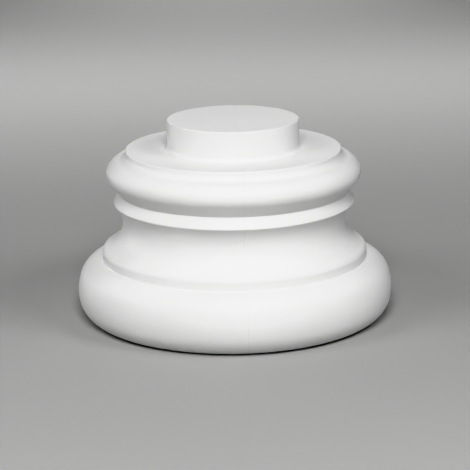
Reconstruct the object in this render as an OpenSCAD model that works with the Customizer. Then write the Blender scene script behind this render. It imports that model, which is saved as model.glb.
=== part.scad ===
// Column base: one round moulding, turned from a single stacked profile.
// Mouldings from the top down: spigot, shaft seat with its cove, upper torus, quirk,
// band, scotia, lip, lower torus. The column's axis is Z and the underside lies at
// z = 0. A projection is how far a moulding stands out past the edge of the seat.

/* [Spigot] */
// Diameter of the round spigot that stands up inside the hollow shaft
spigot_d = 183; // [120:0.5:240]
// Height of the spigot above the seat
spigot_h = 41; // [15:0.5:80]
// Radius of the fillet around the foot of the spigot
spigot_root_r = 5; // [1:0.5:8]

/* [Shaft seat] */
// Diameter of the flat ledge that the shaft stands on
seat_d = 300; // [250:1:380]
// Height of the upright edge below the seat
seat_edge_h = 3; // [1:0.5:5]
// Radius of the hollow cove between that edge and the upper torus
seat_cove_r = 10; // [6:0.5:12]

/* [Upper torus] */
// Height from the quirk below the upper torus to the seat
upper_h = 58.5; // [52:0.5:72]
// Projection of the upper torus
upper_projection = 26.75; // [22:0.25:34]
// Depth of its widest point below the seat
upper_nose_drop = 32; // [29:0.5:36]
// Radius of its rounded nose
upper_nose_r = 17; // [12:0.5:20]
// Radius of the flatter shoulder above the nose
upper_shoulder_r = 22.5; // [18:0.5:30]
// Slope at which the nose gives way to the shoulder, in degrees above level
upper_shoulder_angle = 30; // [10:1:45]

/* [Band] */
// Height of the band between the upper torus and the scotia
band_h = 15.5; // [8:0.5:30]
// Projection of the band's top edge, at the bottom of the quirk
band_top_projection = 10.25; // [6:0.25:15]
// Projection of the band's bottom edge
band_bottom_projection = 18; // [12:0.25:24]

/* [Scotia] */
// Height of the hollow between the band and the lip
scotia_h = 62; // [48:0.5:80]
// Depth of the hollow at its waist, in from the band's bottom edge
scotia_depth = 12.75; // [8:0.25:18]

/* [Lip] */
// Projection of the upright lip below the scotia
lip_projection = 34.5; // [28:0.25:42]
// Height of the lip above the lower torus, with its rounded edge
lip_h = 17.5; // [14:0.5:26]
// Radius of the rounded edge that the scotia runs out onto
lip_edge_r = 7; // [3:0.5:11]
// Radius of the fillet at the foot of the lip
lip_root_r = 1; // [0.5:0.5:3]

/* [Lower torus] */
// Height of the lower torus, from the underside to the foot of the lip
lower_h = 83; // [72:0.5:102]
// Projection of the widest point
lower_projection = 70; // [58:0.25:85]
// Height of the widest point above the underside
lower_nose_h = 39; // [32:0.5:47]
// Radius of the side around the widest point
lower_side_r = 65; // [48:1:78]
// Slope at which the side gives way to the shoulder, in degrees above level
lower_shoulder_angle = 20; // [10:0.5:32]
// Slope at which the side gives way to the heel, in degrees below level
lower_heel_angle = 12; // [5:0.5:20]
// Projection of the underside's rim
foot_projection = 45; // [36:0.5:54]

/* [Hidden] */
$fn = 180;
// How deep one edge of the profile sinks into the next, so that the two always join
join = 0.005;
// How far a piece of the profile runs on out of sight behind its neighbour
lap = 2;

seat_r = seat_d / 2;
spigot_r = spigot_d / 2;

// Levels of the moulding's edges above the underside
lip_z = lower_h + lip_h;
band_z = lip_z + scotia_h;
quirk_z = band_z + band_h;
seat_z = quirk_z + upper_h;
top_z = seat_z + spigot_h;

// Radii of the same edges
lip_r = seat_r + lip_projection;
band_bottom_r = seat_r + band_bottom_projection;
band_top_r = seat_r + band_top_projection;
foot_r = seat_r + foot_projection;

function unit(a) = [cos(a), sin(a)];
// Radius of the arc that leaves point p square to direction d and runs through point q
function blend_r(p, d, q) = -((q - p) * (q - p)) / (2 * (q - p) * d);
// Radius of the hollow arc that starts from a point, has its waist a distance a nearer the axis, and
// touches a rounding of radius e, whose centre lies b out from the waist and h below the point
function hollow_r(a, b, e, h) =
    let (
        c = 2 * (b + e),
        f = b ^ 2 - e ^ 2,
        g = c - 2 * a,
        k = h ^ 2 + a ^ 2 - f,
        m = 2 * h ^ 2 * c - k * g,
        q = k ^ 2 + 4 * h ^ 2 * f
    )
    q / (m + sqrt(m ^ 2 - g ^ 2 * q));

// Cove under the seat
cove_c = [seat_r + seat_cove_r, seat_z - seat_edge_h];

// Upper torus: a nose, a flatter shoulder up to the cove, and a straight underside
nose_c = [seat_r + upper_projection - upper_nose_r, seat_z - upper_nose_drop];
shoulder_d = unit(upper_shoulder_angle);
shoulder_c = nose_c + (upper_nose_r - upper_shoulder_r - join) * shoulder_d;
shoulder_z = nose_c.y + upper_nose_r * shoulder_d.y;
to_nose = nose_c - [band_top_r, quirk_z];
soffit_angle = atan2(to_nose.y, to_nose.x) - asin(upper_nose_r / norm(to_nose));
soffit_end = nose_c + (upper_nose_r - join) * unit(soffit_angle - 90);

// Scotia: one arc from the band's bottom edge, in to a waist and out onto the lip's rounded edge
waist_r = band_bottom_r - scotia_depth;
lip_edge_c = [lip_r - lip_edge_r + join, lip_z - lip_edge_r];
scotia_r = hollow_r(scotia_depth, lip_edge_c.x - waist_r, lip_edge_r - join, band_z - lip_edge_c.y);
hollow_c = [waist_r + scotia_r, band_z - sqrt((2 * scotia_r - scotia_depth) * scotia_depth)];
scotia_end = hollow_c + scotia_r * (lip_edge_c - hollow_c) / norm(lip_edge_c - hollow_c);

// Lower torus: a side, a tighter shoulder up to the lip and a tighter heel down to the foot
side_c = [seat_r + lower_projection - lower_side_r, lower_nose_h];
crown_d = unit(lower_shoulder_angle);
crown_start = side_c + (lower_side_r + join) * crown_d;
crown_r = blend_r(crown_start, crown_d, [lip_r, lower_h]);
crown_c = crown_start - crown_r * crown_d;
heel_d = unit(-lower_heel_angle);
heel_start = side_c + (lower_side_r + join) * heel_d;
heel_r = blend_r(heel_start, heel_d, [foot_r, 0]);
heel_c = heel_start - heel_r * heel_d;

// Fillet between the lip and the lower torus
lip_root_x = lip_r + lip_root_r;
lip_root_z = crown_c.y + sqrt((crown_r + lip_root_r) ^ 2 - (lip_root_x - crown_c.x) ^ 2);

// The profile between levels z0 and z1, from the axis out to a straight edge
module straight_layer(z0, r0, z1, r1) {
    polygon([[0, z0], [r0, z0], [r1, z1], [0, z1]]);
}

// The profile between levels z0 and z1 out to an edge of radius r about c, filled as far as fill_r
module round_layer(z0, z1, c, r, fill_r) {
    intersection() {
        translate([0, z0])
            square([c.x + r + lap, z1 - z0]);
        union() {
            translate(c)
                circle(r);
            square([fill_r, z1]);
        }
    }
}

module spigot_profile() {
    root_z = seat_z + spigot_root_r;
    straight_layer(seat_z - lap, spigot_r, top_z, spigot_r);
    difference() {
        straight_layer(seat_z - lap, spigot_r + spigot_root_r, root_z, spigot_r + spigot_root_r);
        translate([spigot_r + spigot_root_r, root_z])
            circle(spigot_root_r);
    }
}

module seat_profile() {
    straight_layer(cove_c.y - lap, seat_r, seat_z, seat_r);
    straight_layer(nose_c.y, cove_c.x - join, cove_c.y, cove_c.x - join);
}

module upper_torus_profile() {
    round_layer(shoulder_z, cove_c.y - lap, shoulder_c, upper_shoulder_r, shoulder_c.x);
    translate(nose_c)
        circle(upper_nose_r);
    polygon([[0, quirk_z], [band_top_r, quirk_z], soffit_end, nose_c, [0, nose_c.y + lap]]);
}

module band_profile() {
    flare = (band_bottom_r - band_top_r) / band_h;
    straight_layer(band_z - lap, band_bottom_r + lap * flare, quirk_z, band_top_r);
}

module scotia_profile() {
    polygon([[0, lip_edge_c.y], lip_edge_c, scotia_end, [band_bottom_r - join, band_z], [0, band_z]]);
}

module lip_profile() {
    translate(lip_edge_c)
        circle(lip_edge_r);
    straight_layer(lower_h - lap, lip_r, lip_edge_c.y, lip_r);
    polygon([crown_c, [lip_root_x, lip_root_z], [0, lip_root_z]]);
}

module lower_torus_profile() {
    round_layer(crown_start.y - lap, lower_h + lap, crown_c, crown_r, lip_r - join);
    round_layer(heel_start.y, crown_start.y, side_c, lower_side_r, side_c.x);
    round_layer(0, heel_start.y + lap, heel_c, heel_r, heel_c.x);
}

// The round hollows that are cut back into the mouldings
module hollows() {
    translate(cove_c)
        circle(seat_cove_r);
    translate(hollow_c)
        circle(scotia_r);
    translate([lip_root_x, lip_root_z])
        circle(lip_root_r + join);
}

module column_base() {
    color("whitesmoke")
        rotate_extrude() {
            spigot_profile();
            difference() {
                union() {
                    seat_profile();
                    upper_torus_profile();
                    band_profile();
                    scotia_profile();
                    lip_profile();
                    lower_torus_profile();
                }
                hollows();
            }
        }
}

column_base();
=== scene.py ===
"""Column base: a turned white moulding on a pale floor, in soft studio light."""

import math

import bpy
import numpy as np
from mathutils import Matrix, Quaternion, Vector


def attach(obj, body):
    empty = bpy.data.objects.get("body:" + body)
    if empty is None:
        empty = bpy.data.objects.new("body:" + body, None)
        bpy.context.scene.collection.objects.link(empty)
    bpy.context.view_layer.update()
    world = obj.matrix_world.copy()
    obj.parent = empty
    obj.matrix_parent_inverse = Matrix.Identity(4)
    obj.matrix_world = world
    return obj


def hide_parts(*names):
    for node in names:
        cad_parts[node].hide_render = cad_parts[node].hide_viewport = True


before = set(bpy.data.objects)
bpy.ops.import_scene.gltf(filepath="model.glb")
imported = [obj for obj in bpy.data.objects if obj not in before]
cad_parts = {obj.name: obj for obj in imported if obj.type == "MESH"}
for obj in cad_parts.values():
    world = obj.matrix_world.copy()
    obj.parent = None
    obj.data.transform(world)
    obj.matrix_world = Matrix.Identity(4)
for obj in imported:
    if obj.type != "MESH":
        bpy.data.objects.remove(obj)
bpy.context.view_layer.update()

scene = bpy.context.scene
scene.view_settings.view_transform = "Khronos PBR Neutral"
scene.view_settings.look = "High Contrast"
scene.view_settings.exposure = 0.0
scene.view_settings.gamma = 1.0

# ---------------------------------------------------------------- sizes, in mm and degrees
# The CAD part's own sizes. A projection is how far a moulding stands out past the seat's edge.
MM = 0.001

SEAT_R = 150.0
SEAT_EDGE_H = 3.0
COVE_R = 10.0
SPIGOT_R = 91.5
SPIGOT_H = 41.0
SPIGOT_ROOT_R = 5.0

UPPER_H = 58.5
UPPER_PROJECTION = 26.75
UPPER_NOSE_DROP = 32.0
UPPER_NOSE_R = 17.0
UPPER_SHOULDER_R = 22.5
UPPER_SHOULDER_ANGLE = 30.0

BAND_H = 15.5
BAND_TOP_PROJECTION = 10.25
BAND_BOTTOM_PROJECTION = 18.0
SCOTIA_H = 62.0
SCOTIA_DEPTH = 12.75
LIP_H = 17.5
LIP_PROJECTION = 34.5
LIP_EDGE_R = 7.0
LIP_ROOT_R = 1.0

LOWER_H = 83.0
LOWER_PROJECTION = 70.0
LOWER_NOSE_H = 39.0
LOWER_SIDE_R = 65.0
LOWER_SHOULDER_ANGLE = 20.0
LOWER_HEEL_ANGLE = -12.0
FOOT_PROJECTION = 45.0

LIP_Z = LOWER_H + LIP_H
BAND_Z = LIP_Z + SCOTIA_H
QUIRK_Z = BAND_Z + BAND_H
SEAT_Z = QUIRK_Z + UPPER_H
TOP_Z = SEAT_Z + SPIGOT_H
LIP_R = SEAT_R + LIP_PROJECTION
FOOT_R = SEAT_R + FOOT_PROJECTION

# How far back from each sharp corner its softening starts
SOFT_TOP = 1.3
SOFT_SEAT = 1.9
SOFT_COVE = 1.6
SOFT_QUIRK = 1.2
SOFT_BAND = 1.6
SOFT_FOOT = 2.2

# Radii of the rings that the two flat ends are made of
TOP_RINGS = (0.0, 12.0, 26.0, 40.0, 54.0, 66.0, 76.0, 83.0, SPIGOT_R)
UNDER_RINGS = (FOOT_R, 188.0, 170.0, 140.0, 105.0, 70.0, 35.0, 0.0)

BEND_STEPS = (0.17, 0.34, 0.5, 0.66, 0.83)   # where a softened corner's points lie along its bend
CLOSEST = 0.05   # points of the outline nearer each other than this are merged

# The turned mesh: its faces around, and how far inside the CAD's surface it stays
AROUND = 320
INSET = 0.12
# Waves of a few hundredths, always inward: how many around, their phase in radians, the height
# over which they lean by a radian, and their depth
WAVES = ((3, 0.9, 70, 0.06), (7, 2.1, -31, 0.035), (13, 4.0, 17, 0.02))
FULL_WAVE_R = 80.0   # nearer the axis than this, the inset and the waves shrink to nothing


# ---------------------------------------------------------------- plane geometry
def unit(deg):
    return np.array([math.cos(math.radians(deg)), math.sin(math.radians(deg))])


def angle_of(p, c):
    """Direction from c to p."""
    return math.degrees(math.atan2(p[1] - c[1], p[0] - c[0]))


def blend_r(p, d, q):
    """Radius of the arc that leaves p square to d and runs through q."""
    v = np.asarray(q, float) - p
    return -(v @ v) / (2 * (v @ d))


def hollow(start, waist, edge_c, edge_r):
    """Centre and radius of the arc from start, in to the waist, and out onto a rounding."""
    lo, hi = 1.0, 500.0
    for _ in range(60):
        r = (lo + hi) / 2
        c = np.array([waist + r, start[1] - math.sqrt(max(r * r - (waist + r - start[0]) ** 2, 0.0))])
        if np.linalg.norm(edge_c - c) > r + edge_r:
            lo = r
        else:
            hi = r
    return c, r


def crossing(c0, r0, c1, r1):
    """Where two circles cross, on the left of the line from c0 to c1."""
    d = np.linalg.norm(c1 - c0)
    a = (r0 * r0 - r1 * r1 + d * d) / (2 * d)
    u = (c1 - c0) / d
    return c0 + a * u + math.sqrt(r0 * r0 - a * a) * np.array([-u[1], u[0]])


def arc(c, r, start, end, step):
    """Points about a step apart on an arc, from one direction to another."""
    n = max(2, int(math.ceil(abs(math.radians(end - start)) * r / step)))
    return [c + r * unit(start + (end - start) * i / n) for i in range(n + 1)]


def line(p, q, step):
    """Points about a step apart on a straight line."""
    p, q = np.asarray(p, float), np.asarray(q, float)
    n = max(1, int(math.ceil(np.linalg.norm(q - p) / step)))
    return [p + (q - p) * i / n for i in range(n + 1)]


# ---------------------------------------------------------------- profile
def level(radii, z):
    """Points of a flat end."""
    return [np.array([r, z]) for r in radii]


def spigot_profile():
    root_c = np.array([SPIGOT_R + SPIGOT_ROOT_R, SEAT_Z + SPIGOT_ROOT_R])
    return [
        (level(TOP_RINGS, TOP_Z), SOFT_TOP),
        (line((SPIGOT_R, TOP_Z), (SPIGOT_R, root_c[1]), 2.6), 0),
        (arc(root_c, SPIGOT_ROOT_R, 180, 270, 0.9), 0),
        (line((root_c[0], SEAT_Z), (SEAT_R, SEAT_Z), 3.6), SOFT_SEAT),
    ]


def upper_profile():
    """The seat's edge and cove, and the upper torus down to the quirk."""
    cove_c = np.array([SEAT_R + COVE_R, SEAT_Z - SEAT_EDGE_H])
    nose_c = np.array([SEAT_R + UPPER_PROJECTION - UPPER_NOSE_R, SEAT_Z - UPPER_NOSE_DROP])
    shoulder_c = nose_c + (UPPER_NOSE_R - UPPER_SHOULDER_R) * unit(UPPER_SHOULDER_ANGLE)
    quirk = np.array([SEAT_R + BAND_TOP_PROJECTION, QUIRK_Z])
    reach = np.linalg.norm(nose_c - quirk)
    soffit = angle_of(nose_c, quirk) - math.degrees(math.asin(UPPER_NOSE_R / reach)) - 90
    cove_end = crossing(cove_c, COVE_R, shoulder_c, UPPER_SHOULDER_R)
    return [
        (line((SEAT_R, SEAT_Z), (SEAT_R, cove_c[1]), 1.0), 0),
        (arc(cove_c, COVE_R, 180, angle_of(cove_end, cove_c) + 360, 1.0), SOFT_COVE),
        (arc(shoulder_c, UPPER_SHOULDER_R, angle_of(cove_end, shoulder_c), UPPER_SHOULDER_ANGLE, 1.2), 0),
        (arc(nose_c, UPPER_NOSE_R, UPPER_SHOULDER_ANGLE, soffit, 1.2), 0),
        (line(nose_c + UPPER_NOSE_R * unit(soffit), quirk, 1.6), SOFT_QUIRK),
    ]


def middle_profile():
    """The band, the scotia and the rounded edge of the lip."""
    quirk = np.array([SEAT_R + BAND_TOP_PROJECTION, QUIRK_Z])
    band = np.array([SEAT_R + BAND_BOTTOM_PROJECTION, BAND_Z])
    edge_c = np.array([LIP_R - LIP_EDGE_R, LIP_Z - LIP_EDGE_R])
    hollow_c, hollow_r = hollow(band, band[0] - SCOTIA_DEPTH, edge_c, LIP_EDGE_R)
    run_out = angle_of(edge_c, hollow_c)
    return [
        (line(quirk, band, 1.7), SOFT_BAND),
        (arc(hollow_c, hollow_r, angle_of(band, hollow_c), run_out + 360, 1.9), 0),
        (arc(edge_c, LIP_EDGE_R, run_out + 180, 0, 0.8), 0),
    ]


def lower_profile():
    """The lip's wall and root, the lower torus and the underside."""
    side_c = np.array([SEAT_R + LOWER_PROJECTION - LOWER_SIDE_R, LOWER_NOSE_H])
    crown_d, heel_d = unit(LOWER_SHOULDER_ANGLE), unit(LOWER_HEEL_ANGLE)
    crown_p, heel_p = side_c + LOWER_SIDE_R * crown_d, side_c + LOWER_SIDE_R * heel_d
    crown_r = blend_r(crown_p, crown_d, (LIP_R, LOWER_H))
    heel_r = blend_r(heel_p, heel_d, (FOOT_R, 0.0))
    crown_c, heel_c = crown_p - crown_r * crown_d, heel_p - heel_r * heel_d
    root_x = LIP_R + LIP_ROOT_R
    root_z = crown_c[1] + math.sqrt((crown_r + LIP_ROOT_R) ** 2 - (root_x - crown_c[0]) ** 2)
    root_c = np.array([root_x, root_z])
    return [
        (line((LIP_R, LIP_Z - LIP_EDGE_R), (LIP_R, root_z), 1.1), 0),
        (arc(root_c, LIP_ROOT_R, 180, angle_of(crown_c, root_c) + 360, 0.4), 0),
        (arc(crown_c, crown_r, angle_of(root_c, crown_c), LOWER_SHOULDER_ANGLE, 1.9), 0),
        (arc(side_c, LOWER_SIDE_R, LOWER_SHOULDER_ANGLE, LOWER_HEEL_ANGLE, 1.9), 0),
        (arc(heel_c, heel_r, LOWER_HEEL_ANGLE, angle_of((FOOT_R, 0.0), heel_c), 1.9), SOFT_FOOT),
        (level(UNDER_RINGS, 0.0), 0),
    ]


def cut_back(points, dist, at_end):
    """The points of a stretch with a length of dist taken off one end."""
    pts = points[::-1] if at_end else list(points)
    left = dist
    while len(pts) > 2 and np.linalg.norm(pts[1] - pts[0]) <= left:
        left -= np.linalg.norm(pts[1] - pts[0])
        pts = pts[1:]
    step = np.linalg.norm(pts[1] - pts[0])
    pts = [pts[0] + (pts[1] - pts[0]) * left / step] + pts[1:]
    return pts[::-1] if at_end else pts


def outline():
    """One run of points in (radius, height), from the middle of the top to the middle of the underside.

    Each stretch comes with the softening of the corner after it, or 0 where it runs on smoothly.
    """
    stretches = spigot_profile() + upper_profile() + middle_profile() + lower_profile()
    stretch = stretches[0][0]
    run = [stretch[0]]
    for (_, soft), (following, _) in zip(stretches, stretches[1:]):
        if soft:
            corner = stretch[-1]
            stretch = cut_back(stretch, soft, True)
            following = cut_back(following, soft, False)
            a, b = stretch[-1], following[0]
            bend = [(1 - t) ** 2 * a + 2 * t * (1 - t) * corner + t * t * b for t in BEND_STEPS]
            run += stretch[1:] + bend + [b]
        else:
            run += stretch[1:]
        stretch = following
    run += stretch[1:]
    clean = [run[0]]
    for p in run[1:]:
        if np.linalg.norm(p - clean[-1]) > CLOSEST:
            clean.append(p)
    return np.array(clean)


# ---------------------------------------------------------------- mesh
def add_object(name, verts, faces):
    mesh = bpy.data.meshes.new(name)
    mesh.from_pydata(verts, [], faces)
    mesh.shade_smooth()
    obj = bpy.data.objects.new(name, mesh)
    scene.collection.objects.link(obj)
    return obj


def turned(name, run):
    """A closed mesh turned about Z from a run of points that starts and ends on the axis."""
    r, z = run[1:-1, 0][:, None], run[1:-1, 1][:, None]
    turn = np.arange(AROUND) * 2 * math.pi / AROUND
    wave = 0.0
    for count, phase, lean, depth in WAVES:
        wave = wave + (0.5 + 0.5 * np.sin(count * turn + phase + z / lean)) * depth
    r = r - (INSET + wave) * np.clip(r / FULL_WAVE_R, 0, 1)
    rings = np.stack([r * np.cos(turn), r * np.sin(turn), np.broadcast_to(z, r.shape)], -1)
    ends = [[0, 0, run[0][1]], [0, 0, run[-1][1]]]
    verts = np.vstack([rings.reshape(-1, 3), ends]) * MM
    last = (len(rings) - 1) * AROUND
    top = last + AROUND
    bottom = top + 1
    faces = []
    for a in range(0, last, AROUND):
        for j in range(AROUND):
            k = (j + 1) % AROUND
            faces.append((a + j, a + AROUND + j, a + AROUND + k, a + k))
    for j in range(AROUND):
        k = (j + 1) % AROUND
        faces.append((top, j, k))
        faces.append((bottom, last + k, last + j))
    return add_object(name, verts.tolist(), faces)


# ---------------------------------------------------------------- materials
class Nodes:
    """Short names for the nodes a material is made of."""

    def __init__(self, name):
        self.material = bpy.data.materials.new(name)
        self.material.use_nodes = True
        self.tree = self.material.node_tree
        self.shader = self.tree.nodes["Principled BSDF"]

    def add(self, kind, **settings):
        node = self.tree.nodes.new(kind)
        for key, value in settings.items():
            setattr(node, key, value)
        return node

    def link(self, a, b):
        self.tree.links.new(a, b)

    def put(self, socket, value):
        """Sets a socket to a number or a colour, or links another node's output to it."""
        if isinstance(value, (int, float)):
            socket.default_value = value
        elif isinstance(value, tuple):
            socket.default_value = (*value, 1.0)
        else:
            self.link(value, socket)

    def math(self, op, a, b=0.0):
        node = self.add("ShaderNodeMath", operation=op)
        self.put(node.inputs[0], a)
        self.put(node.inputs[1], b)
        return node.outputs[0]

    def noise(self, where, scale, detail=2.0, rough=0.5):
        node = self.add("ShaderNodeTexNoise")
        self.link(where, node.inputs["Vector"])
        node.inputs["Scale"].default_value = scale
        node.inputs["Detail"].default_value = detail
        node.inputs["Roughness"].default_value = rough
        return node.outputs["Fac"]

    def ramp(self, value, low, high, to_low=0.0, to_high=1.0):
        """A smooth step from to_low to to_high while the value goes from low to high."""
        node = self.add("ShaderNodeMapRange", clamp=True, interpolation_type="SMOOTHSTEP")
        for socket, v in zip(node.inputs[:5], (value, low, high, to_low, to_high)):
            self.put(socket, v)
        return node.outputs[0]

    def mix(self, fac, a, b):
        node = self.add("ShaderNodeMix", data_type="RGBA")
        self.put(node.inputs[0], fac)
        self.put(node.inputs[6], a)
        self.put(node.inputs[7], b)
        return node.outputs[2]


SEAM_SLANT = 0.0665      # how far the parting plane turns away from straight fore and aft
SEAM_OFFSET = 0.002      # how far to the right of the axis it lies, in metres
SEAM_WANDER = 0.0016
SEAM_HALF_WIDTH = 0.0011


def primer():
    """Matt white primer over rigid foam: faint mottling, a fine grain and the mould's parting line."""
    m = Nodes("white_primer")
    where = m.add("ShaderNodeTexCoord").outputs["Object"]
    xyz = m.add("ShaderNodeSeparateXYZ")
    m.link(where, xyz.inputs[0])
    x, y, _ = xyz.outputs

    clouds = m.noise(where, 9.0, 3.0, 0.55)
    grain = m.noise(where, 420.0, 3.0, 0.6)
    fine = m.noise(where, 1500.0, 2.0, 0.5)

    # distance from the parting plane, which wanders a little and shows in broken stretches
    off = m.math("ADD", x, m.math("MULTIPLY", y, SEAM_SLANT))
    wander = m.math("MULTIPLY", m.math("SUBTRACT", m.noise(where, 30.0), 0.5), SEAM_WANDER)
    off = m.math("SUBTRACT", m.math("ADD", off, wander), SEAM_OFFSET)
    near = m.ramp(m.math("ABSOLUTE", off), 0.0, SEAM_HALF_WIDTH, 1.0, 0.0)
    broken = m.ramp(m.noise(where, 55.0), 0.35, 0.6, 0.35, 1.0)
    seam = m.math("MULTIPLY", near, broken)
    step = m.ramp(off, -0.0012, 0.0012)

    white = m.mix(m.ramp(clouds, 0.35, 0.65), (0.78, 0.78, 0.777), (0.805, 0.805, 0.802))
    white = m.mix(m.math("MULTIPLY", m.ramp(grain, 0.3, 0.7), 0.25), white, (0.755, 0.755, 0.75))
    white = m.mix(m.math("MULTIPLY", seam, 0.07), white, (0.52, 0.52, 0.51))
    m.link(white, m.shader.inputs["Base Color"])
    m.link(m.ramp(clouds, 0.3, 0.7, 0.50, 0.60), m.shader.inputs["Roughness"])
    m.put(m.shader.inputs["Specular IOR Level"], 0.35)

    height = m.math("ADD", m.math("MULTIPLY", grain, 0.00006), m.math("MULTIPLY", fine, 0.00002))
    height = m.math("SUBTRACT", height, m.math("MULTIPLY", seam, 0.00012))
    height = m.math("ADD", height, m.math("MULTIPLY", step, 0.00010))
    bump = m.add("ShaderNodeBump")
    m.put(bump.inputs["Strength"], 1.0)
    m.put(bump.inputs["Distance"], 1.0)
    m.link(height, bump.inputs["Height"])
    m.link(bump.outputs[0], m.shader.inputs["Normal"])
    return m.material


def floor_finish():
    m = Nodes("pale_floor")
    m.put(m.shader.inputs["Base Color"], (0.44, 0.44, 0.437))
    m.put(m.shader.inputs["Roughness"], 0.9)
    m.put(m.shader.inputs["Specular IOR Level"], 0.1)
    return m.material


# ---------------------------------------------------------------- the part
base = turned("column_base_moulding", outline())
base.data.materials.append(primer())
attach(base, "root")
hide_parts("column_base")


# ---------------------------------------------------------------- stage
def floor_piece():
    """A level floor that sweeps up into a backdrop well behind the part."""
    half, back, rise, bend = 9.0, 5.0, 7.0, 2.5
    sweep = [(-half, 0.0), (back - bend, 0.0)]
    for t in np.linspace(0.1, math.pi / 2, 15):
        sweep.append((back - bend + bend * math.sin(t), bend - bend * math.cos(t)))
    sweep.append((back, rise))
    verts = [(x, y, z) for y, z in sweep for x in (-half, half)]
    faces = [(2 * i, 2 * i + 1, 2 * i + 3, 2 * i + 2) for i in range(len(sweep) - 1)]
    obj = add_object("floor", verts, faces)
    obj.data.materials.append(floor_finish())
    return obj


floor = floor_piece()


def lamp(name, place, target, width, height, watts, spread=180):
    """A rectangular lamp aimed from one place at another, itself out of the camera's sight."""
    data = bpy.data.lights.new(name, "AREA")
    data.shape = "RECTANGLE"
    data.size, data.size_y = width, height
    data.energy = watts
    data.spread = math.radians(spread)
    obj = bpy.data.objects.new(name, data)
    obj.location = place
    obj.rotation_mode = "QUATERNION"
    obj.rotation_quaternion = (Vector(target) - Vector(place)).to_track_quat("-Z", "Y")
    obj.visible_camera = False
    scene.collection.objects.link(obj)


CENTRE = Vector((0.0, 0.0, 0.13))
SOFTBOX_DISTANCE = 3.2
SOFTBOX_SIZE = 1.2
# azimuth (0 is in front, positive to the right), elevation and watts of each lamp aimed at the part
SOFTBOXES = {
    "key": (0, 42, 50.8),
    "front": (0, 25, 9.9),
    "left": (-60, 42, 16.4),
    "right": (60, 42, 22.1),
    "low_left": (-120, 8, 13.6),
    "back": (180, 8, 6.7),
}

for name, (azimuth, elevation, watts) in SOFTBOXES.items():
    a, e = math.radians(azimuth), math.radians(elevation)
    out = Vector((math.sin(a) * math.cos(e), -math.cos(a) * math.cos(e), math.sin(e)))
    lamp(name, CENTRE + out * SOFTBOX_DISTANCE, CENTRE, SOFTBOX_SIZE, SOFTBOX_SIZE, watts)
lamp("backdrop", (0.0, 1.7, 2.6), (0.0, 1.7, 0.0), 4.0, 0.5, 10.0, 62)

world = bpy.data.worlds.new("studio")
scene.world = world
world.use_nodes = True
background = world.node_tree.nodes["Background"]
background.inputs["Color"].default_value = (1.0, 1.0, 1.0, 1.0)
background.inputs["Strength"].default_value = 0.03

# ---------------------------------------------------------------- camera
CAMERA_PLACE = Vector((0.0, -2.77338, 0.86563))
CAMERA_AIM = Vector((0.00088, 0.0, 0.11055))
CAMERA_ROLL = -0.834

cam_data = bpy.data.cameras.new("camera")
cam_data.sensor_width = 36.0
cam_data.lens = 157.14
cam_data.clip_start = 0.05
cam_data.clip_end = 60.0
cam = bpy.data.objects.new("camera", cam_data)
scene.collection.objects.link(cam)
cam.location = CAMERA_PLACE
cam.rotation_mode = "QUATERNION"
roll = Quaternion((0, 0, 1), math.radians(CAMERA_ROLL))
cam.rotation_quaternion = (CAMERA_AIM - CAMERA_PLACE).to_track_quat("-Z", "Y") @ roll
scene.camera = cam
